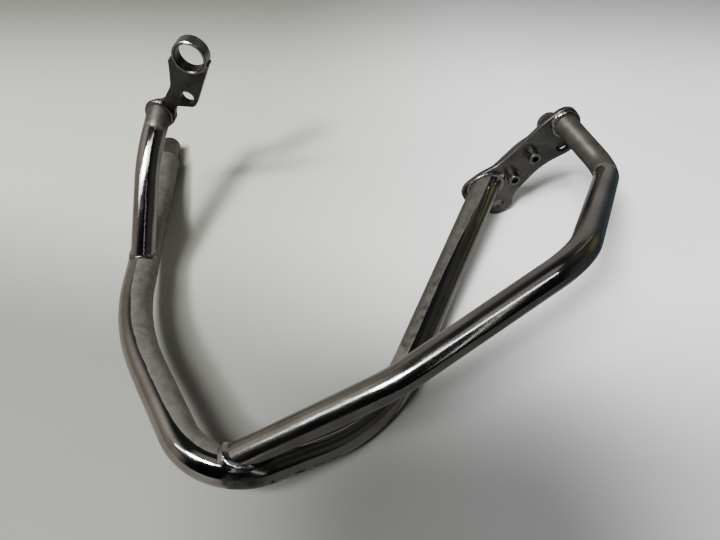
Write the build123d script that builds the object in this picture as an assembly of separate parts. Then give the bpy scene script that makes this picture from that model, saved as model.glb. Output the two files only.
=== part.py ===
from build123d import *
import os

os.makedirs("parts", exist_ok=True)

# Tube stock: the main tube is the thick one, the hoop and the upright are slim
MAIN_OD = 28.0
MAIN_WALL = 2.0
SLIM_OD = 22.0
SLIM_WALL = 2.0

# Straight runs of the bent tubes, measured to the points where neighbouring runs would meet, and the way
# each goes as the bar lies on a floor: x across, y away from the near corner, z up
FRONT_SLOPE = 161.1
FRONT_SLOPE_WAY = (-0.549, 0.835, -0.040)
FRONT_LEG = 253.8
FRONT_LEG_WAY = (-0.128, 0.986, -0.109)
REAR_SLOPE = 147.8
REAR_SLOPE_WAY = (0.852, 0.443, -0.277)
REAR_LEG = 275.3
REAR_LEG_WAY = (0.416, 0.901, 0.124)
MAIN_BENDS = [205.0, 53.0, 146.0]
HOOP_FOOT = 137.7
HOOP_FOOT_WAY = (0.875, 0.243, 0.418)
HOOP_RISE = 155.5
HOOP_RISE_WAY = (0.833, 0.466, 0.299)
HOOP_TAIL = 64.6
HOOP_TAIL_WAY = (-0.503, 0.828, 0.248)
HOOP_BENDS = [120.0, 56.0, 31.0]
UPRIGHT_LEG = 104.9
UPRIGHT_LEG_WAY = (0.038, 0.791, 0.610)
UPRIGHT_HEAD = 42.5
UPRIGHT_HEAD_WAY = (0.200, 0.833, 0.515)
UPRIGHT_BENDS = [250.0]

# Where the slim tubes start and end: inside the main tube, from its corner and its front bend, and on the rear plate
HOOP_START = (9.5, 18.5, -5.5)
HOOP_SEAT = (95.8, 3.9)
UPRIGHT_START = (-10.0, 74.0, -7.5)
TUBE_OVERRUN = 14.0
TRIM_BLOCK = 400.0

# Joiner spigot, a sleeve fixed in the open end of the main tube
SPIGOT_OD = MAIN_OD - 2 * MAIN_WALL
SPIGOT_WALL = 3.0
SPIGOT_OUT = 37.0
SPIGOT_IN = 30.0
SPIGOT_CHAMFER = 1.0
SPIGOT_SLIP = 0.4

# Rear plate: local x runs from the main tube's end to the hoop's end, local z faces the tubes
REAR_NORMAL = (0.17, -0.98, 0.07)
REAR_RUN = (70.0, 16.5, 62.0)
REAR_T = 5.0
REAR_OUTLINE = [
    (-14.4, -48.0),
    (4.5, -48.0),
    (15.0, -34.5),
    (55.0, -24.5),
    (82.0, -31.0),
    (98.0, -31.5),
    (110.5, -2.0),
    (110.5, 20.5),
    (84.0, 20.5),
    (50.0, 15.0),
    (22.0, 12.0),
    (3.0, 16.5),
    (-28.5, 17.2),
    (-26.0, -17.0),
]
REAR_CORNERS = [13.0, 12.0, 20.0, 60.0, 30.0, 10.0, 20.0, 14.0, 60.0, 60.0, 50.0, 40.0, 16.0, 14.0]
REAR_EDGE = 0.8
REAR_LOW_HOLE = (-5.0, -34.0)
REAR_LOW_HOLE_R = 6.0
REAR_TOP_HOLE = (82.4, -19.4)
REAR_TOP_HOLE_R = 7.0

# Rear bracket, flat against the back of the rear plate
BRACKET_T = 5.0
BRACKET_OUTLINE = [
    (10.0, 7.0),
    (12.0, -23.0),
    (52.0, -20.0),
    (95.0, -28.0),
    (94.0, 10.0),
    (72.0, 10.5),
    (50.0, 13.0),
]
BRACKET_CORNERS = [6.0, 8.0, 60.0, 9.0, 6.0, 20.0, 60.0]
BRACKET_EAR = (84.0, 11.5)
BRACKET_EAR_R = 10.5

# Socket-head screws with plain washers in front and hexagon nuts behind
SCREW_PLACES = [(26.0, -10.5), (54.5, -3.0)]
SCREW_D = 8.0
SCREW_HEAD_D = 13.0
SCREW_HEAD_H = 8.0
SCREW_HEAD_EDGE = 0.8
SOCKET_ACROSS = 6.0
SOCKET_DEPTH = 4.0
SCREW_PAST_NUT = 2.5
SCREW_CLEARANCE = 0.25
WASHER_D = 16.0
WASHER_T = 1.6
NUT_ACROSS = 13.0
NUT_H = 6.5

# Front lug: local x to the right, local y up, local z faces the upright
LUG_NORMAL = (-0.126, -0.992, 0.002)
LUG_T = 8.0
LUG_FOOT = (1.5, -1.0)
LUG_FOOT_R = 13.3
LUG_OUTLINE = [
    (5.0, -5.0),
    (-1.0, 11.0),
    (8.0, 14.8),
    (19.5, 31.0),
    (22.5, 45.0),
    (24.5, 57.5),
    (45.5, 61.0),
    (61.5, 55.5),
    (38.5, 10.0),
    (19.5, 10.0),
    (13.5, -4.0),
]
LUG_CORNERS = [1.0, 1.0, 10.0, 16.0, 40.0, 2.0, 1.0, 1.0, 7.0, 5.0, 1.0]
LUG_EDGE = 0.8
LUG_HOLE = (32.7, 19.8)
LUG_HOLE_R = 6.5
RING = (45.5, 61.0)
RING_OD = 31.0
RING_WALL = 3.0
RING_BORE = RING_OD - 2 * RING_WALL
RING_LENGTH = 13.0
RING_EDGE = 0.8

# Weld beads: collars on the plates, round seams between tubes and round the ring
REAR_BEAD = 3.0
LUG_BEAD = 2.4
BEAD_ROUND = 0.7
RING_BEAD = 1.6
RING_BEAD_TOP = -6.5
HOOP_SEAM = 2.6
UPRIGHT_SEAM = 1.5
WASHER_ROOM = 0.3
SEAM_ROUND = 0.65


def run(start, way, length):
    end = Vector(*start) + Vector(*way).normalized() * length
    return (end.X, end.Y, end.Z)


def rod(points, bends, diameter):
    line = FilletPolyline(*points, radius=bends)
    start = Plane(origin=line @ 0, z_dir=line % 0)
    return sweep(start * Circle(diameter / 2), path=line)


def overrun(points):
    last = Vector(*points[-1])
    way = (last - Vector(*points[-2])).normalized()
    end = last + way * TUBE_OVERRUN
    return points[:-1] + [(end.X, end.Y, end.Z)]


def slab(frame, outline, corners, top, depth):
    face = make_face(FilletPolyline(*outline, radius=corners, close=True))
    return frame * Pos(0, 0, top - depth) * extrude(face, amount=depth)


def drill(frame, place, radius, top, depth):
    return frame * Pos(place[0], place[1], top - depth / 2) * Cylinder(radius, depth)


def collar(frame, points, diameter, size):
    # a bead of even height round a tube where it stands on a plate
    last = Vector(*points[-1])
    way = (last - Vector(*points[-2])).normalized()
    stand = Plane(origin=last, x_dir=way.cross(frame.z_dir), z_dir=way)
    wide = stand * Cylinder(diameter / 2 + size, 3 * diameter)
    band = frame * Pos(0, 0, size / 2) * Box(TRIM_BLOCK, TRIM_BLOCK, size)
    core = stand * Cylinder(diameter / 2, 3 * diameter)
    ring = wide & band
    top = ring.faces().sort_by(Axis(frame.origin, frame.z_dir))[-1]
    ring = fillet(top.edges(), size * BEAD_ROUND)
    return ring - core


def seam(points, bends, size):
    # a rounded bead where a slim tube stands on the main tube
    wide = rod(points, bends, SLIM_OD + 2 * size) & rod(MAIN_POINTS, MAIN_BENDS, MAIN_OD + 2 * size)
    ridge = [e for e in wide.edges() if e.geom_type not in (GeomType.CIRCLE, GeomType.LINE)]
    return wide.fillet(SEAM_ROUND * size, ridge)


# Centre line of the main tube, from the open front end round the near corner to the rear plate
corner = (0.0, 0.0, 0.0)
front_bend = run(corner, FRONT_SLOPE_WAY, FRONT_SLOPE)
front_end = run(front_bend, FRONT_LEG_WAY, FRONT_LEG)
rear_bend = run(corner, REAR_SLOPE_WAY, REAR_SLOPE)
rear_end = run(rear_bend, REAR_LEG_WAY, REAR_LEG)
MAIN_POINTS = [front_end, front_bend, corner, rear_bend, rear_end]

# Frame of the rear plate, and the hoop's centre line from the near corner to its seat on the plate
rear = Plane(origin=rear_end, x_dir=REAR_RUN, z_dir=REAR_NORMAL)
hoop_end = tuple(rear.from_local_coords((*HOOP_SEAT, 0.0)))
hoop_top = run(HOOP_START, HOOP_FOOT_WAY, HOOP_FOOT)
hoop_side = run(hoop_top, HOOP_RISE_WAY, HOOP_RISE)
hoop_back = run(hoop_end, HOOP_TAIL_WAY, -HOOP_TAIL)
HOOP_POINTS = [HOOP_START, hoop_top, hoop_side, hoop_back, hoop_end]

# Centre line of the upright, and the frame of the front lug on its end
upright_start = tuple(Vector(*front_bend) + Vector(*UPRIGHT_START))
upright_bend = run(upright_start, UPRIGHT_LEG_WAY, UPRIGHT_LEG)
upright_end = run(upright_bend, UPRIGHT_HEAD_WAY, UPRIGHT_HEAD)
UPRIGHT_POINTS = [upright_start, upright_bend, upright_end]
lug_across = Vector(0, 0, 1).cross(Vector(*LUG_NORMAL))
lug = Plane(origin=upright_end, x_dir=lug_across, z_dir=LUG_NORMAL)

# Blocks behind the two plates, which trim the tubes that end on them
behind = Pos(0, 0, -TRIM_BLOCK / 2) * Box(TRIM_BLOCK, TRIM_BLOCK, TRIM_BLOCK)
behind_rear = rear * behind
behind_lug = lug * behind

# Tubes: bent, mitred on the plates, and the slim ones coped round the main tube
main_solid = rod(overrun(MAIN_POINTS), MAIN_BENDS, MAIN_OD)
main_bore = rod(overrun(MAIN_POINTS), MAIN_BENDS, MAIN_OD - 2 * MAIN_WALL)
main_tube = main_solid - main_bore - behind_rear
hoop_solid = rod(overrun(HOOP_POINTS), HOOP_BENDS, SLIM_OD)
hoop_bore = rod(overrun(HOOP_POINTS), HOOP_BENDS, SLIM_OD - 2 * SLIM_WALL)
hoop_tube = hoop_solid - hoop_bore - main_solid - behind_rear
upright_solid = rod(overrun(UPRIGHT_POINTS), UPRIGHT_BENDS, SLIM_OD)
upright_bore = rod(overrun(UPRIGHT_POINTS), UPRIGHT_BENDS, SLIM_OD - 2 * SLIM_WALL)
upright_tube = upright_solid - upright_bore - main_solid - behind_lug

# Joiner spigot
open_end = Vector(*MAIN_POINTS[0])
out_way = (open_end - Vector(*MAIN_POINTS[1])).normalized()
spigot_frame = Plane(origin=open_end, z_dir=out_way)
spigot_free = Cylinder(SPIGOT_OD / 2 - SPIGOT_SLIP, SPIGOT_OUT)
spigot_free = chamfer(spigot_free.faces().sort_by(Axis.Z)[-1].edges(), SPIGOT_CHAMFER)
spigot_fixed = Cylinder(SPIGOT_OD / 2, SPIGOT_IN)
spigot_rod = Pos(0, 0, SPIGOT_OUT / 2) * spigot_free + Pos(0, 0, -SPIGOT_IN / 2) * spigot_fixed
spigot_rod = spigot_rod - Cylinder(SPIGOT_OD / 2 - SPIGOT_WALL, 2 * (SPIGOT_OUT + SPIGOT_IN))
joiner_spigot = spigot_frame * spigot_rod

# Rear plate and bracket
rear_plate = slab(rear, REAR_OUTLINE, REAR_CORNERS, 0, REAR_T)
rear_faces = rear_plate.faces().sort_by(Axis(rear.origin, rear.z_dir))
rear_plate = fillet(rear_faces[-1].edges() + rear_faces[0].edges(), REAR_EDGE)
rear_bracket = slab(rear, BRACKET_OUTLINE, BRACKET_CORNERS, -REAR_T, BRACKET_T)
rear_bracket = rear_bracket + drill(rear, BRACKET_EAR, BRACKET_EAR_R, -REAR_T, BRACKET_T)
for place, radius in ((REAR_LOW_HOLE, REAR_LOW_HOLE_R), (REAR_TOP_HOLE, REAR_TOP_HOLE_R)):
    rear_plate = rear_plate - drill(rear, place, radius, 1, REAR_T + 2)
for place in SCREW_PLACES:
    hole = drill(rear, place, SCREW_D / 2 + SCREW_CLEARANCE, 1, REAR_T + BRACKET_T + 2)
    rear_plate = rear_plate - hole
    rear_bracket = rear_bracket - hole

# Screws, washers and nuts
head = Cylinder(SCREW_HEAD_D / 2, SCREW_HEAD_H)
head = fillet(head.faces().sort_by(Axis.Z)[-1].edges(), SCREW_HEAD_EDGE)
socket = extrude(RegularPolygon(SOCKET_ACROSS / 2, 6, major_radius=False), amount=SOCKET_DEPTH)
head = head - Pos(0, 0, SCREW_HEAD_H / 2 - SOCKET_DEPTH) * socket
shank_long = WASHER_T + REAR_T + BRACKET_T + NUT_H + SCREW_PAST_NUT
screw = Pos(0, 0, WASHER_T + SCREW_HEAD_H / 2) * head
screw = screw + Pos(0, 0, WASHER_T - shank_long / 2) * Cylinder(SCREW_D / 2, shank_long)
washer = Cylinder(WASHER_D / 2, WASHER_T) - Cylinder(SCREW_D / 2 + SCREW_CLEARANCE, WASHER_T)
nut_blank = extrude(RegularPolygon(NUT_ACROSS / 2, 6, major_radius=False), amount=NUT_H)
nut = nut_blank - Pos(0, 0, NUT_H / 2) * Cylinder(SCREW_D / 2, NUT_H)
nut_floor = -REAR_T - BRACKET_T - NUT_H
cap_screws = [rear * Pos(x, y, 0) * screw for x, y in SCREW_PLACES]
screw_washers = [rear * Pos(x, y, WASHER_T / 2) * washer for x, y in SCREW_PLACES]
screw_nuts = [rear * Pos(x, y, nut_floor) * nut for x, y in SCREW_PLACES]

# Front lug with its ring
lug_face = make_face(FilletPolyline(*LUG_OUTLINE, radius=LUG_CORNERS, close=True))
lug_face = lug_face + Pos(*LUG_FOOT) * Circle(LUG_FOOT_R)
lug_plate = lug * Pos(0, 0, -LUG_T) * extrude(lug_face, amount=LUG_T)
lug_faces = lug_plate.faces().sort_by(Axis(lug.origin, lug.z_dir))
lug_plate = fillet(lug_faces[-1].edges() + lug_faces[0].edges(), LUG_EDGE)
lug_plate = lug_plate - drill(lug, RING, RING_OD / 2, 1, LUG_T + 2)
lug_plate = lug_plate - drill(lug, LUG_HOLE, LUG_HOLE_R, 1, LUG_T + 2)
ring_rod = Cylinder(RING_OD / 2, RING_LENGTH) - Cylinder(RING_BORE / 2, RING_LENGTH)
ring_ends = ring_rod.faces().sort_by(Axis.Z)
ring_rod = chamfer(ring_ends[-1].edges() + ring_ends[0].edges(), RING_EDGE)
ring_seat = lug * Pos(RING[0], RING[1], -LUG_T / 2)
lug_ring = ring_seat * ring_rod

# Weld collars on the plates
weld_main_plate = collar(rear, MAIN_POINTS, MAIN_OD, REAR_BEAD) - main_solid
weld_main_plate = weld_main_plate - drill(rear, SCREW_PLACES[0], WASHER_D / 2 + WASHER_ROOM, 2 * REAR_BEAD, 3 * REAR_BEAD)
weld_hoop_plate = collar(rear, HOOP_POINTS, SLIM_OD, REAR_BEAD) - hoop_solid
weld_upright_lug = collar(lug, UPRIGHT_POINTS, SLIM_OD, LUG_BEAD) - upright_solid

# Weld seams between the tubes
weld_hoop_main = seam(HOOP_POINTS, HOOP_BENDS, HOOP_SEAM) - hoop_solid - main_solid
weld_upright_main = seam(UPRIGHT_POINTS, UPRIGHT_BENDS, UPRIGHT_SEAM) - upright_solid - main_solid

# Weld seam round the seated half of the ring, on both faces of the lug
ring_zone = ring_seat * Pos(0, RING_BEAD_TOP - RING_OD / 2, 0) * Box(2 * RING_OD, RING_OD, 3 * RING_LENGTH)
ring_core = ring_seat * Cylinder(RING_OD / 2, 2 * RING_LENGTH)
lug_core = ring_seat * Box(3 * RING_OD, 3 * RING_OD, LUG_T)
weld_ring_lug = []
for side in (1, -1):
    bead = ring_seat * Pos(0, 0, side * LUG_T / 2) * Torus(RING_OD / 2, RING_BEAD)
    weld_ring_lug.append((bead & ring_zone) - ring_core - lug_core)

nodes = {
    "main_tube": [main_tube],
    "joiner_spigot": [joiner_spigot],
    "hoop_tube": [hoop_tube],
    "upright_tube": [upright_tube],
    "lug_plate": [lug_plate],
    "lug_ring": [lug_ring],
    "rear_plate": [rear_plate],
    "rear_bracket": [rear_bracket],
    "cap_screws": cap_screws,
    "screw_washers": screw_washers,
    "screw_nuts": screw_nuts,
    "weld_hoop_main": [weld_hoop_main],
    "weld_upright_main": [weld_upright_main],
    "weld_upright_lug": [weld_upright_lug],
    "weld_ring_lug": weld_ring_lug,
    "weld_main_plate": [weld_main_plate],
    "weld_hoop_plate": [weld_hoop_plate],
}

# The finished bar stands with the middle of its box over the origin and its lowest point on z = 0
solids = {name: [s for shape in shapes for s in shape.solids()] for name, shapes in nodes.items()}
box = Compound(children=[s for group in solids.values() for s in group]).bounding_box()
home = Pos(-box.center().X, -box.center().Y, -box.min.Z)
for name, group in solids.items():
    export_step(home * Compound(group), "parts/" + name + ".step")
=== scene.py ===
import math

import bmesh
import bpy
from mathutils import Matrix, Vector


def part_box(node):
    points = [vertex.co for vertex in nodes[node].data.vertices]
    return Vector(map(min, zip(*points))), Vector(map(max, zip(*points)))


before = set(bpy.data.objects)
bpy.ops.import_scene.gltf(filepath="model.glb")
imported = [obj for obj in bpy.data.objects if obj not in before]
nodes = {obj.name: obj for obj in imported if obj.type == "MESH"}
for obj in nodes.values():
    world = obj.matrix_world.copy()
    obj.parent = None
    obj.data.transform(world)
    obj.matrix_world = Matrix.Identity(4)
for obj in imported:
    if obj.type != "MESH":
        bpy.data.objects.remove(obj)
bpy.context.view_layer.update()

# Lengths are in metres, colours are linear. A noise is its scale, detail and roughness. Edges are the two
# numbers that a smooth step runs between and, where four are given, the two that it gives.

# Camera: where the photograph was taken from, with its tilt in degrees and its lens in millimetres
CAMERA_PLACE = (0.0021, -0.3299, 0.4289)
CAMERA_TILT = 39.24
CAMERA_LENS = 27.0
CAMERA_SENSOR = 36.0
CAMERA_NEAREST = 0.01

# Lamps: place, width, length, power in watts and the way the long side lies. They all face one point
LAMPS = {
    "ceiling_lamp": ((-0.80, -0.82, 2.20), 0.32, 1.00, 74.0, (1.0, 0.0, 0.0)),
    "fill_lamp": ((-1.12, -1.42, 2.20), 0.32, 0.40, 100.0, (1.0, 0.0, 0.0)),
    "long_lamp": ((-0.62, -0.85, 2.24), 0.24, 3.20, 24.0, (1.0, 0.0, 0.0)),
    "side_strip": ((0.70, -1.21, 1.15), 0.05, 1.50, 0.6, (0.0, 0.0, 1.0)),
}
LAMP_AIM = (0.0, 0.0, 0.05)
LAMP_COLOUR = (0.94, 0.975, 1.0)
# The lamp that the steel doesn't show
FILL = "fill_lamp"

# Room seen in the steel: pale walls low down, a dark upper part, a pale patch overhead,
# and darkness on the right and behind the camera
WALL_FAR = (0.34, 0.335, 0.32)
WALL_LEFT = (0.38, 0.335, 0.28)
WALL_UPPER = (0.10, 0.097, 0.094)
CEILING = (0.03, 0.03, 0.031)
OVERHEAD = (0.34, 0.34, 0.34)
DARKNESS = (0.008, 0.008, 0.009)
RIGHT_SHADE = 0.22
# Where one part of the room turns into the next, as parts of a direction: to the side, up and back
LEFT_EDGES = (-0.25, -0.75)
RIGHT_EDGES = (0.40, 0.75)
UPPER_EDGES = (0.42, 0.62)
CEILING_EDGES = (0.74, 0.86)
OVERHEAD_EDGES = (0.968, 0.985)
BEHIND_EDGES = (-0.45, -0.70)
# Dim coloured things on the right of the room: direction, reach and colour, full over this share of the reach
RIGHT_TINTS = [
    ((0.60, 0.27, 0.75), 0.55, (0.075, 0.082, 0.076)),
    ((0.74, 0.67, -0.05), 0.10, (0.03, 0.09, 0.17)),
    ((0.87, 0.37, 0.28), 0.34, (0.26, 0.26, 0.10)),
    ((0.90, -0.42, -0.08), 0.14, (0.11, 0.06, 0.04)),
]
TINT_CORE = 0.2
# Glows beside the lamp: direction, reach and colour
LAMP_GLOWS = [
    ((-0.76, 0.14, 0.63), 0.50, (0.72, 0.70, 0.66)),
    ((-0.646, -0.173, 0.743), 0.30, (0.80, 0.80, 0.80)),
]
# A thin pale upright line far off on the right: direction, reach and colour, and where it fades in and out
PALE_LINE = ((0.682, 0.731, 0.0), 0.035, (0.9, 0.9, 0.84))
PALE_LINE_CORE = 0.5
PALE_LINE_HEIGHTS = (0.30, 0.40, 0.80, 0.90)

# Floor: painted light and shade: paler to the right, darker near the camera and far off, with a painted soft
# shadow in front of the part
FLOOR_SIDE = 3.0
FLOOR_LEFT_SHADED = (0.50, 0.485, 0.425)
FLOOR_RIGHT_LIT = (0.89, 0.885, 0.85)
FLOOR_TURN = (-0.15, 0.25)
FLOOR_NEAR_SHADE = (0.08, -0.14, 0.42)
FLOOR_FAR_SHADE = (0.30, 0.68, 0.34)
FLOOR_SLANT = 0.22
FLOOR_PAINTED_SHADOW = ((0.03, -0.22, 0.0), (0.12, -0.23, 0.0), 0.20, 0.72)
FLOOR_PAINTED_SHADOW_CORE = 0.1
FLOOR_NOISE = (5.0, 2.0)
FLOOR_EDGES = (0.3, 0.7, 1.0, 0.97)
FLOOR_ROUGH = 0.55
FLOOR_GLOSS = 0.25
BLACK = (0.0, 0.0, 0.0)
# Plain backdrop far off all round, seen by the camera alone
BACKDROP_REACH = 12.0
BACKDROP_DETAIL = 4
BACKDROP_TONE = (0.50, 0.498, 0.485)
# Dark sheets of painted shade lying on the floor, seen only in reflections, where they stand for the floor in
# shade: outline, height and colour
SHADE_SHEETS = {
    "floor_shade_sheet": (
        [(-1.45, -1.20), (1.45, -1.20), (1.45, 1.45), (-1.45, 1.45)],
        0.0004,
        (0.15, 0.143, 0.13),
    ),
    "front_shade_sheet": (
        [(-0.20, -1.20), (1.20, -1.20), (1.20, -0.22), (0.17, -0.12), (0.03, -0.14), (-0.10, -0.20)],
        0.0008,
        (0.045, 0.043, 0.04),
    ),
    "right_shade_sheet": (
        [(0.30, -0.26), (1.45, -0.26), (1.45, 1.00), (0.32, 1.00)],
        0.0008,
        (0.02, 0.028, 0.033),
    ),
}
SHADE_SHEET_ROUGH = 0.9
SHADE_SHEET_NOISE = (12.0, 2.0)
SHADE_SHEET_PALER = 1.3

# Colours of the film on the main tube, at the front and at the rear, and of the bare scale on the slim tubes
FILM = (0.205, 0.188, 0.163)
FILM_DARK = (0.14, 0.128, 0.11)
REAR_FILM = (0.125, 0.115, 0.099)
REAR_FILM_DARK = (0.085, 0.078, 0.067)
SCALE = (0.078, 0.069, 0.056)
SCALE_DARK = (0.050, 0.045, 0.039)
# Colours of weld metal, of the painted shade inside the lug ring, and of marks, whose dark colour also paints
# shade in the screw sockets
BEAD = (0.46, 0.45, 0.43)
BEAD_DULL = (0.30, 0.288, 0.27)
RING_INSIDE_SHADE = (0.055, 0.053, 0.05)
SCAR_AND_SHADE = (0.02, 0.018, 0.016)
STAIN = (0.022, 0.015, 0.010)
POLISHED = (0.35, 0.335, 0.315)
POLISHED_DULL = (0.27, 0.252, 0.232)
# Steels: bright and dull colour, least and most roughness, and the size of the cloudy patches
STEELS = {
    "main_tube_steel": (POLISHED, POLISHED_DULL, (0.06, 0.15), 0.030),
    "hoop_steel": (POLISHED, POLISHED_DULL, (0.12, 0.18), 0.045),
    "upright_steel": (POLISHED, POLISHED_DULL, (0.05, 0.08), 0.045),
    "plate_steel": ((0.21, 0.204, 0.195), (0.15, 0.145, 0.138), (0.28, 0.42), 0.018),
    "dark_steel": ((0.075, 0.072, 0.068), (0.05, 0.048, 0.045), (0.24, 0.38), 0.015),
    "bracket_steel": ((0.20, 0.196, 0.184), (0.155, 0.15, 0.14), (0.40, 0.55), 0.015),
    "screw_steel": ((0.30, 0.29, 0.28), (0.20, 0.192, 0.184), (0.20, 0.36), 0.006),
    "ring_steel": ((0.25, 0.24, 0.224), (0.19, 0.182, 0.169), (0.20, 0.32), 0.015),
    "sleeve_steel": (FILM, FILM_DARK, (0.40, 0.52), 0.016),
}
# Detail of all steels: cloudy patches, a fine grain that varies the roughness by a share of its least,
# and two sets of crossing polishing lines, each with its turn in degrees and its stretch
CLOUD_NOISE = (5.0, 0.62)
CLOUD_EDGES = (0.38, 0.66)
GRAIN_NOISE = (900.0, 2.0)
GRAIN_EDGES = (0.3, 0.7)
GRAIN_SHARE = 0.2
LINES = [((10, 35, 62), (90, 1500, 1500)), ((50, -20, -28), (1500, 110, 1500))]
LINE_NOISE = (1.0, 2.0)
LINE_DEPTH = 0.00002
LINE_STRENGTH = 0.5
# Polishing lines along the hoop and the upright: their way, their depth, and where they fade out
# from left to right
HOOP_BRUSHED = ((0.875, 0.243, 0.418), 0.00006, (0.0, 0.05))
UPRIGHT_BRUSHED = ((0.05, 0.82, 0.57), 0.00004, (0.0, 0.1))
BRUSH_FINE = 2500.0
BRUSH_LONG = 40.0

# Film on the inner sides of the main tube's two legs: the way each side faces, how the film's edge slides
# round the tube along the leg, where the edge lies, and where on the leg the film starts
INNER_SIDES = "inner sides"
LEFT_INWARD = (0.86, 0.51, 0.0)
LEFT_SLIDE = (-0.14, -0.21, 0.0, 0.30)
LEFT_FILM_EDGES = (-0.08, 0.14)
LEFT_FILM_START = (-0.08, -0.10)
RIGHT_INWARD = (-1.0, 0.0, 0.0)
RIGHT_SLIDE = (-0.02, 0.09, 0.0, 0.32)
RIGHT_FILM_EDGES = (0.08, 0.32)
RIGHT_FILM_START = (0.02, 0.05)
# On the rear leg the film is darker, and painted shade makes it darkest where it faces straight inward
REAR_FILM_START = (0.0, 0.05)
REAR_FILM_SHADOW = (0.40, 0.85, 0.0, 0.75)
# Lengths of the slim tubes that were never polished: from, to and reach
HOOP_TAIL = ((0.2362, 0.0642, 0.0926), (0.2037, 0.1176, 0.1087), 0.024)
UPRIGHT_TOP = ((-0.1908, 0.1146, 0.1220), (-0.1880, 0.1260, 0.1290), 0.026)
FILM_CORE = 0.45
# Detail of every film: mottled colour and a ragged edge
MOTTLE_NOISE = (110.0, 5.0, 0.65)
MOTTLE_EDGES = (0.36, 0.64)
RAGGED_NOISE = (75.0, 5.0, 0.65)
RAGGED_EDGES = (0.30, 0.60, -0.15, 0.15)
COVER_EDGES = (0.15, 0.85)
FILM_ROUGH = 0.48
FILM_METALLIC = 0.6

# Marks on the main tube: a smear of wear, nicks and stains, each along a straight band with its reach,
# full over the core's share of it
SCAR_BAND = ((-0.0880, -0.2085, 0.0500), (-0.0700, -0.2075, 0.0440))
SCAR_REACH = 0.0085
SCAR_CORE = 0.1
SCAR_NOISE = (130.0, 2.0, 0.5)
SCAR_EDGES = (0.30, 0.70, 0.35, 0.9)
SCAR_ROUGHER = 0.45
SCAR_DEPTH = 0.0002
SCAR_STRENGTH = 0.5
NICK_BAND = ((-0.0600, -0.2040, 0.0380), (-0.0092, -0.1776, 0.0195))
NICK_REACH = 0.0034
NICK_CORE = 0.4
NICK_NOISE = (260.0, 3.0, 0.6)
NICK_EDGES = (0.49, 0.57)
STAIN_BAND = ((0.0843, 0.0087, 0.0419), (0.0427, -0.0870, 0.0303))
STAIN_REACH = 0.010
STAIN_CORE = 0.35
STAIN_NOISE = (150.0, 4.0, 0.65)
STAIN_EDGES = (0.52, 0.60)
STAIN_SHARE = 0.6

# Screw sockets, painted dark inside as shade: their axes, from the head's face inward, and their reach
SOCKETS = [
    ((0.1633, 0.0968, 0.0529), (0.1626, 0.1010, 0.0526)),
    ((0.1794, 0.1013, 0.0772), (0.1787, 0.1055, 0.0769)),
]
SOCKET_SHADE_REACH = 0.0036
# Lug ring: the way its axis lies, how far the painted shade inside runs each way along it, and its reach from
# the axis
RING_WAY = (-0.126, -0.992, 0.002)
RING_HALF = 0.0075
RING_REACH = 0.0148
HOLLOW_SHADE_CORE = 0.85

# Weld beads: direction of the tube or ring inside each one, and how bright its metal is
BEAD_AXES = {
    "weld_hoop_main": ((120.5, 33.5, 57.5), 0.80),
    "weld_upright_main": ((4.0, 83.0, 64.0), 0.55),
    "weld_upright_lug": ((8.5, 35.4, 21.9), 0.42),
    "weld_main_plate": ((114.5, 248.0, 34.0), 0.80),
    "weld_hoop_plate": ((-32.5, 53.5, 16.0), 0.85),
    "weld_ring_lug": ((0.0, 1.0, 0.0), 0.30),
}
# Ripples round each bead, how far they wander, lumps under them, and dull patches
BEAD_RIPPLES = 15
RIPPLE_DEPTH = 0.0004
WANDER_NOISE = (130.0, 2.0)
WANDER = 5.0
LUMP_NOISE = (110.0, 1.0)
LUMP_DEPTH = 0.0012
BEAD_STRENGTH = 0.4
BEAD_NOISE = (180.0, 4.0, 0.65)
BEAD_EDGES = (0.40, 0.68)
BEAD_ROUGH = (0.14, 0.30)
# The hoop's bead at the corner darkens toward its right end, from one place across the part to the other
DARKENED_BEAD = "weld_hoop_main"
DARKENED_EDGES = (-0.086, -0.074, 0.0, 0.9)


def feed(tree, socket, value):
    """Links a socket to another node's output, or sets it to a plain value."""
    if isinstance(value, bpy.types.NodeSocket):
        tree.links.new(value, socket)
    else:
        socket.default_value = value


def number(tree, operation, a, b=0.0, clamp=False):
    """One arithmetic step."""
    node = tree.nodes.new("ShaderNodeMath")
    node.operation = operation
    node.use_clamp = clamp
    feed(tree, node.inputs[0], a)
    feed(tree, node.inputs[1], b)
    return node.outputs[0]


def vector(tree, operation, a, b=(0.0, 0.0, 0.0), scale=1.0):
    """One vector step, giving a number for products and distances."""
    node = tree.nodes.new("ShaderNodeVectorMath")
    node.operation = operation
    feed(tree, node.inputs[0], a)
    feed(tree, node.inputs[1], b)
    feed(tree, node.inputs[3], scale)
    plain = operation in ("DOT_PRODUCT", "DISTANCE")
    return node.outputs[1 if plain else 0]


def split(tree, value):
    """The three parts of a vector."""
    node = tree.nodes.new("ShaderNodeSeparateXYZ")
    feed(tree, node.inputs[0], value)
    return node.outputs


def spread(tree, value, low, high, to_low=0.0, to_high=1.0):
    """A smooth step from one range of numbers to another."""
    node = tree.nodes.new("ShaderNodeMapRange")
    node.interpolation_type = "SMOOTHSTEP"
    for socket, given in zip(node.inputs, (value, low, high, to_low, to_high)):
        feed(tree, socket, given)
    return node.outputs[0]


def noise(tree, where, scale, detail, roughness=0.55):
    """Cloudy noise with features about 1 / scale metres across."""
    node = tree.nodes.new("ShaderNodeTexNoise")
    feed(tree, node.inputs["Vector"], where)
    node.inputs["Scale"].default_value = scale
    node.inputs["Detail"].default_value = detail
    node.inputs["Roughness"].default_value = roughness
    return node.outputs["Fac"]


def blend(tree, factor, a, b):
    """Colour a where the factor is 0, colour b where it is 1."""
    node = tree.nodes.new("ShaderNodeMix")
    node.data_type = "RGBA"
    feed(tree, node.inputs["Factor"], factor)
    for socket, colour in zip(node.inputs[6:8], (a, b)):
        feed(tree, socket, (*colour, 1.0) if isinstance(colour, tuple) else colour)
    return node.outputs[2]


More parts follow.
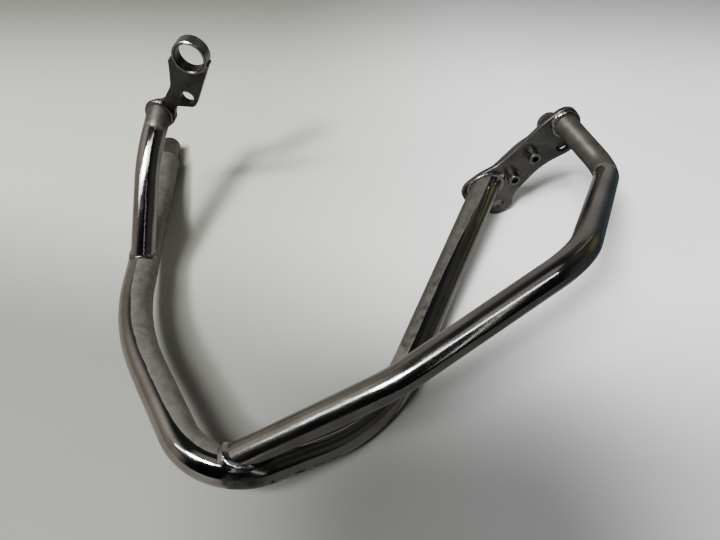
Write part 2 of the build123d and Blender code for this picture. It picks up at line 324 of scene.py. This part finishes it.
def near_band(tree, where, band, reach, core):
    """1 near the line from one end of the band to the other, falling to 0 at its reach."""
    start, end = Vector(band[0]), Vector(band[1])
    run = end - start
    offset = vector(tree, "SUBTRACT", where, tuple(start))
    along = vector(tree, "DOT_PRODUCT", offset, tuple(run / run.length_squared))
    along = number(tree, "ADD", along, 0.0, clamp=True)
    foot = vector(tree, "SCALE", tuple(run), scale=along)
    away = vector(tree, "DISTANCE", offset, foot)
    return spread(tree, away, reach, reach * core)


def stretched(tree, where, turn, scale):
    """Object coordinates turned and stretched, for marks that run one way."""
    node = tree.nodes.new("ShaderNodeMapping")
    feed(tree, node.inputs["Vector"], where)
    node.inputs["Rotation"].default_value = [math.radians(a) for a in turn]
    node.inputs["Scale"].default_value = scale
    return node.outputs["Vector"]


def bump(tree, height, distance, strength=1.0, under=None):
    """Surface relief from a height, on top of the relief under it."""
    node = tree.nodes.new("ShaderNodeBump")
    node.inputs["Strength"].default_value = strength
    node.inputs["Distance"].default_value = distance
    feed(tree, node.inputs["Height"], height)
    if under is not None:
        feed(tree, node.inputs["Normal"], under)
    return node.outputs["Normal"]


def lines_along(tree, where, way):
    """Fine parallel polishing lines that run the given way."""
    along = Vector(way).normalized()
    across = along.orthogonal().normalized()
    third = along.cross(across)
    axes = (across * BRUSH_FINE, third * BRUSH_FINE, along * BRUSH_LONG)
    node = tree.nodes.new("ShaderNodeCombineXYZ")
    for socket, axis in zip(node.inputs, axes):
        feed(tree, socket, vector(tree, "DOT_PRODUCT", where, tuple(axis)))
    return noise(tree, node.outputs[0], *LINE_NOISE)


def start_material(name, metallic=1.0):
    """A new material, with its tree, its shader and the object's own coordinates."""
    material = bpy.data.materials.new(name)
    material.use_nodes = True
    tree = material.node_tree
    shader = tree.nodes["Principled BSDF"]
    shader.inputs["Metallic"].default_value = metallic
    where = tree.nodes.new("ShaderNodeTexCoord").outputs["Object"]
    return material, tree, shader, where


def inner_film(tree, where):
    """The film on the inner sides of the main tube's legs: where it is, and its pale and dark colours, with
    painted shade where the rear leg faces straight inward.
    """
    normal = tree.nodes.new("ShaderNodeNewGeometry").outputs["Normal"]
    across, along = split(tree, where)[:2]
    inward = vector(tree, "DOT_PRODUCT", normal, LEFT_INWARD)
    inward = number(tree, "SUBTRACT", inward, spread(tree, along, *LEFT_SLIDE))
    left = spread(tree, inward, *LEFT_FILM_EDGES)
    left = number(tree, "MULTIPLY", left, spread(tree, across, *LEFT_FILM_START))
    inward = vector(tree, "DOT_PRODUCT", normal, RIGHT_INWARD)
    # Painted shade: the rear leg's film turns darker where it faces straight inward
    shadowed = spread(tree, inward, *REAR_FILM_SHADOW)
    inward = number(tree, "ADD", inward, spread(tree, along, *RIGHT_SLIDE))
    right = spread(tree, inward, *RIGHT_FILM_EDGES)
    right = number(tree, "MULTIPLY", right, spread(tree, across, *RIGHT_FILM_START))
    rearward = spread(tree, across, *REAR_FILM_START)
    shadowed = number(tree, "MULTIPLY", rearward, shadowed)
    pale = blend(tree, shadowed, blend(tree, rearward, FILM, REAR_FILM), SCALE_DARK)
    dark = blend(tree, shadowed, blend(tree, rearward, FILM_DARK, REAR_FILM_DARK), SCALE_DARK)
    return number(tree, "MAXIMUM", left, right), pale, dark


def wear(tree, where):
    """The main tube's marks: where it is scarred or nicked, and where it is stained."""
    scars = spread(tree, noise(tree, where, *SCAR_NOISE), *SCAR_EDGES)
    scars = number(tree, "MULTIPLY", scars, near_band(tree, where, SCAR_BAND, SCAR_REACH, SCAR_CORE))
    nicks = spread(tree, noise(tree, where, *NICK_NOISE), *NICK_EDGES)
    nicks = number(tree, "MULTIPLY", nicks, near_band(tree, where, NICK_BAND, NICK_REACH, NICK_CORE))
    stains = spread(tree, noise(tree, where, *STAIN_NOISE), *STAIN_EDGES)
    stains = number(tree, "MULTIPLY", stains, near_band(tree, where, STAIN_BAND, STAIN_REACH, STAIN_CORE))
    return number(tree, "MAXIMUM", scars, nicks), number(tree, "MULTIPLY", stains, STAIN_SHARE)


def steel(name, film=None, brushed=None, hollow_shades=(), marks=False):
    """Steel with cloudy patches and fine polishing lines, and with a film, painted shade in hollows, or marks
    if asked.
    """
    bright, dull, (smooth, rough), cloud_size = STEELS[name]
    material, tree, shader, where = start_material(name)
    patch = spread(tree, noise(tree, where, 1 / cloud_size, *CLOUD_NOISE), *CLOUD_EDGES)
    colour = blend(tree, patch, bright, dull)
    shade = spread(tree, patch, 0.0, 1.0, smooth, rough)
    swing = GRAIN_SHARE * smooth
    grain = spread(tree, noise(tree, where, *GRAIN_NOISE), *GRAIN_EDGES, -swing, swing)
    shade = number(tree, "ADD", shade, grain)
    lines = [noise(tree, stretched(tree, where, turn, scale), *LINE_NOISE) for turn, scale in LINES]
    relief = bump(tree, number(tree, "MULTIPLY", *lines), LINE_DEPTH, LINE_STRENGTH)

    if film:
        if film == INNER_SIDES:
            cover, pale, dark = inner_film(tree, where)
        else:
            start, end, reach = film
            cover = near_band(tree, where, (start, end), reach, FILM_CORE)
            pale, dark = SCALE, SCALE_DARK
        mottle = spread(tree, noise(tree, where, *MOTTLE_NOISE), *MOTTLE_EDGES)
        ragged = spread(tree, noise(tree, where, *RAGGED_NOISE), *RAGGED_EDGES)
        cover = spread(tree, number(tree, "ADD", cover, ragged), *COVER_EDGES)
        colour = blend(tree, cover, colour, blend(tree, mottle, pale, dark))
        shade = spread(tree, cover, 0.0, 1.0, shade, FILM_ROUGH)
        feed(tree, shader.inputs["Metallic"], spread(tree, cover, 0.0, 1.0, 1.0, FILM_METALLIC))

    if brushed:
        way, depth, (edge, end) = brushed
        reach = spread(tree, split(tree, where)[0], edge, end, 1.0, 0.0)
        scratches = number(tree, "MULTIPLY", lines_along(tree, where, way), reach)
        relief = bump(tree, scratches, depth, under=relief)

    # Painted shade: dark colour inside hollows, such as the lug ring's bore and the screw sockets
    for axis, reach, inside in hollow_shades:
        colour = blend(tree, near_band(tree, where, axis, reach, HOLLOW_SHADE_CORE), colour, inside)

    if marks:
        scars, stains = wear(tree, where)
        colour = blend(tree, stains, colour, STAIN)
        colour = blend(tree, scars, colour, SCAR_AND_SHADE)
        shade = number(tree, "ADD", shade, number(tree, "MULTIPLY", scars, SCAR_ROUGHER))
        sunk = number(tree, "SUBTRACT", 0.0, scars)
        relief = bump(tree, sunk, SCAR_DEPTH, SCAR_STRENGTH, relief)

    feed(tree, shader.inputs["Base Color"], colour)
    feed(tree, shader.inputs["Roughness"], shade)
    feed(tree, shader.inputs["Normal"], relief)
    return material


def bead_metal(name, node, axis, tone):
    """Weld metal with ripples that follow the bead round its tube."""
    material, tree, shader, where = start_material(name)
    low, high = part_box(node)
    turn = Vector(axis).to_track_quat("Z", "Y").inverted()
    centre = turn @ ((low + high) / 2)
    local = tree.nodes.new("ShaderNodeMapping")
    feed(tree, local.inputs["Vector"], where)
    local.inputs["Rotation"].default_value = turn.to_euler()
    local.inputs["Location"].default_value = -centre
    sweep = tree.nodes.new("ShaderNodeTexGradient")
    sweep.gradient_type = "RADIAL"
    feed(tree, sweep.inputs["Vector"], local.outputs["Vector"])
    turns = number(tree, "MULTIPLY", sweep.outputs["Fac"], math.pi * BEAD_RIPPLES)
    wander = number(tree, "MULTIPLY", noise(tree, where, *WANDER_NOISE), WANDER)
    ripple = number(tree, "ABSOLUTE", number(tree, "SINE", number(tree, "ADD", turns, wander)))
    relief = bump(tree, noise(tree, where, *LUMP_NOISE), LUMP_DEPTH, BEAD_STRENGTH)
    relief = bump(tree, ripple, RIPPLE_DEPTH, BEAD_STRENGTH, relief)
    patch = spread(tree, noise(tree, where, *BEAD_NOISE), *BEAD_EDGES)
    bright, dull = (tuple(tone * c for c in colour) for colour in (BEAD, BEAD_DULL))
    colour = blend(tree, patch, bright, dull)
    if node == DARKENED_BEAD:
        darkening = spread(tree, split(tree, where)[0], *DARKENED_EDGES)
        colour = blend(tree, darkening, colour, SCAR_AND_SHADE)
    feed(tree, shader.inputs["Base Color"], colour)
    feed(tree, shader.inputs["Roughness"], spread(tree, patch, 0.0, 1.0, *BEAD_ROUGH))
    feed(tree, shader.inputs["Normal"], relief)
    return material


def dress(name, material):
    """Gives a CAD node its finish."""
    for slot in nodes[name].material_slots:
        slot.material = material


# Finishes
ring_low, ring_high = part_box("lug_ring")
ring_centre = (ring_low + ring_high) / 2
ring_half = Vector(RING_WAY) * RING_HALF
# Painted shade: the lug ring's bore is coloured dark
ring_hollow_shade = ((ring_centre - ring_half, ring_centre + ring_half), RING_REACH, RING_INSIDE_SHADE)
# Painted shade: the screw sockets are coloured dark
socket_shades = [(axis, SOCKET_SHADE_REACH, SCAR_AND_SHADE) for axis in SOCKETS]
dark_steel = steel("dark_steel")
screw_steel = steel("screw_steel", hollow_shades=socket_shades)

dress("main_tube", steel("main_tube_steel", film=INNER_SIDES, marks=True))
dress("hoop_tube", steel("hoop_steel", film=HOOP_TAIL, brushed=HOOP_BRUSHED))
dress("upright_tube", steel("upright_steel", film=UPRIGHT_TOP, brushed=UPRIGHT_BRUSHED))
dress("joiner_spigot", steel("sleeve_steel"))
dress("lug_plate", dark_steel)
dress("lug_ring", steel("ring_steel", hollow_shades=[ring_hollow_shade]))
dress("rear_plate", steel("plate_steel"))
dress("rear_bracket", steel("bracket_steel"))
dress("cap_screws", screw_steel)
dress("screw_washers", screw_steel)
dress("screw_nuts", screw_steel)
for bead, (axis, tone) in BEAD_AXES.items():
    dress(bead, bead_metal(bead + "_metal", bead, axis, tone))


def add_floor():
    """A pale table top, faintly uneven in tone, with painted light and shade: paler to the right, darker near
    the camera and far off, and a painted shadow in front of the part.
    """
    half = FLOOR_SIDE / 2
    mesh = bpy.data.meshes.new("floor")
    corners = [(-half, -half, 0), (half, -half, 0), (half, half, 0), (-half, half, 0)]
    mesh.from_pydata(corners, [], [(0, 1, 2, 3)])
    floor = bpy.data.objects.new("floor", mesh)
    bpy.context.scene.collection.objects.link(floor)
    material, tree, shader, where = start_material("floor_paint", metallic=0.0)
    shader.inputs["Roughness"].default_value = FLOOR_ROUGH
    shader.inputs["Specular IOR Level"].default_value = FLOOR_GLOSS
    across, along = split(tree, where)[:2]
    # Painted light and shade: the floor's colour is paler to the right and darker near the camera and far off
    colour = blend(tree, spread(tree, across, *FLOOR_TURN), FLOOR_LEFT_SHADED, FLOOR_RIGHT_LIT)
    slanted = number(tree, "ADD", along, number(tree, "MULTIPLY", across, FLOOR_SLANT))
    light = 1.0
    for way, (edge, end, least) in ((slanted, FLOOR_NEAR_SHADE), (along, FLOOR_FAR_SHADE)):
        light = number(tree, "MULTIPLY", light, spread(tree, way, edge, end, 1.0, least))
    # Painted shadow: a soft dark patch in front of the part
    start, stop, reach, depth = FLOOR_PAINTED_SHADOW
    shade = near_band(tree, where, (start, stop), reach, FLOOR_PAINTED_SHADOW_CORE)
    shade = number(tree, "MULTIPLY", shade, depth)
    light = number(tree, "MULTIPLY", light, number(tree, "SUBTRACT", 1.0, shade))
    uneven = spread(tree, noise(tree, where, *FLOOR_NOISE), *FLOOR_EDGES)
    light = number(tree, "MULTIPLY", light, uneven)
    feed(tree, shader.inputs["Base Color"], blend(tree, light, BLACK, colour))
    mesh.materials.append(material)


def add_lamp(name, place, width, length, power, lie):
    """A soft oblong light that faces the part, with its long side along the given way."""
    lamp = bpy.data.lights.new(name, "AREA")
    lamp.shape = "RECTANGLE"
    lamp.size = width
    lamp.size_y = length
    lamp.energy = power
    lamp.color = LAMP_COLOUR
    back = (Vector(place) - Vector(LAMP_AIM)).normalized()
    across = Vector(lie).cross(back).normalized()
    upward = back.cross(across)
    item = bpy.data.objects.new(name, lamp)
    item.matrix_world = Matrix((across, upward, back)).transposed().to_4x4()
    item.location = place
    item.visible_glossy = name != FILL
    bpy.context.scene.collection.objects.link(item)


def add_shade_sheet(name, outline, height, colour):
    """A dark sheet of painted shade lying on the floor, which darkens what the steel reflects and nothing
    else.
    """
    mesh = bpy.data.meshes.new(name)
    mesh.from_pydata([(x, y, height) for x, y in outline], [], [tuple(range(len(outline)))])
    shade_sheet = bpy.data.objects.new(name, mesh)
    bpy.context.scene.collection.objects.link(shade_sheet)
    material, tree, shader, where = start_material(name + "_shade_paint", metallic=0.0)
    shader.inputs["Roughness"].default_value = SHADE_SHEET_ROUGH
    tone = noise(tree, where, *SHADE_SHEET_NOISE)
    paler = tuple(c * SHADE_SHEET_PALER for c in colour)
    feed(tree, shader.inputs["Base Color"], blend(tree, tone, colour, paler))
    mesh.materials.append(material)
    shade_sheet.visible_camera = False
    shade_sheet.visible_diffuse = False
    shade_sheet.visible_shadow = False


def add_backdrop():
    """A plain pale backdrop all round, which the steel doesn't show and which gives no light."""
    mesh = bpy.data.meshes.new("backdrop")
    shell = bmesh.new()
    bmesh.ops.create_icosphere(shell, subdivisions=BACKDROP_DETAIL, radius=BACKDROP_REACH)
    shell.to_mesh(mesh)
    shell.free()
    backdrop = bpy.data.objects.new("backdrop", mesh)
    bpy.context.scene.collection.objects.link(backdrop)
    material, tree, shader, where = start_material("backdrop_paint", metallic=0.0)
    shader.inputs["Specular IOR Level"].default_value = 0.0
    shader.inputs["Base Color"].default_value = (*BLACK, 1.0)
    shader.inputs["Emission Color"].default_value = (*BACKDROP_TONE, 1.0)
    shader.inputs["Emission Strength"].default_value = 1.0
    material.cycles.emission_sampling = "NONE"
    mesh.materials.append(material)
    backdrop.visible_diffuse = False
    backdrop.visible_glossy = False
    backdrop.visible_transmission = False
    backdrop.visible_shadow = False


def add_room():
    """The room round the table, as the steel shows it."""
    world = bpy.data.worlds.new("room")
    world.use_nodes = True
    tree = world.node_tree
    toward = tree.nodes.new("ShaderNodeTexCoord").outputs["Generated"]
    height = split(tree, toward)[2]
    level = vector(tree, "NORMALIZE", vector(tree, "MULTIPLY", toward, (1.0, 1.0, 0.0)))
    right, far = split(tree, level)[:2]

    wall = blend(tree, spread(tree, right, *LEFT_EDGES), WALL_FAR, WALL_LEFT)
    colour = blend(tree, spread(tree, height, *UPPER_EDGES), wall, WALL_UPPER)
    colour = blend(tree, spread(tree, height, *CEILING_EDGES), colour, CEILING)
    shade = spread(tree, right, *RIGHT_EDGES, 1.0, RIGHT_SHADE)
    colour = blend(tree, shade, DARKNESS, colour)
    for way, reach, tint in RIGHT_TINTS:
        facing = vector(tree, "DISTANCE", toward, tuple(Vector(way).normalized()))
        colour = blend(tree, spread(tree, facing, reach, reach * TINT_CORE), colour, tint)
    colour = blend(tree, spread(tree, far, *BEHIND_EDGES), colour, DARKNESS)
    for way, reach, tint in LAMP_GLOWS:
        facing = vector(tree, "DISTANCE", toward, way)
        colour = blend(tree, spread(tree, facing, reach, 0.0), colour, tint)
    way, reach, tint = PALE_LINE
    line = spread(tree, vector(tree, "DISTANCE", level, way), reach, reach * PALE_LINE_CORE)
    foot, low, high, top = PALE_LINE_HEIGHTS
    line = number(tree, "MULTIPLY", line, spread(tree, height, foot, low))
    line = number(tree, "MULTIPLY", line, spread(tree, height, top, high))
    colour = blend(tree, line, colour, tint)
    colour = blend(tree, spread(tree, height, *OVERHEAD_EDGES), colour, OVERHEAD)
    feed(tree, tree.nodes["Background"].inputs["Color"], colour)
    bpy.context.scene.world = world


def add_camera():
    """The photograph's viewpoint."""
    camera = bpy.data.cameras.new("camera")
    camera.lens = CAMERA_LENS
    camera.sensor_width = CAMERA_SENSOR
    camera.clip_start = CAMERA_NEAREST
    item = bpy.data.objects.new("camera", camera)
    item.location = CAMERA_PLACE
    item.rotation_euler = (math.radians(CAMERA_TILT), 0.0, 0.0)
    bpy.context.scene.collection.objects.link(item)
    bpy.context.scene.camera = item


add_floor()
# Sheets of painted shade on the floor, seen only in reflections
for name, (outline, height, colour) in SHADE_SHEETS.items():
    add_shade_sheet(name, outline, height, colour)
for name, (place, width, length, power, lie) in LAMPS.items():
    add_lamp(name, place, width, length, power, lie)
add_backdrop()
add_room()
add_camera()
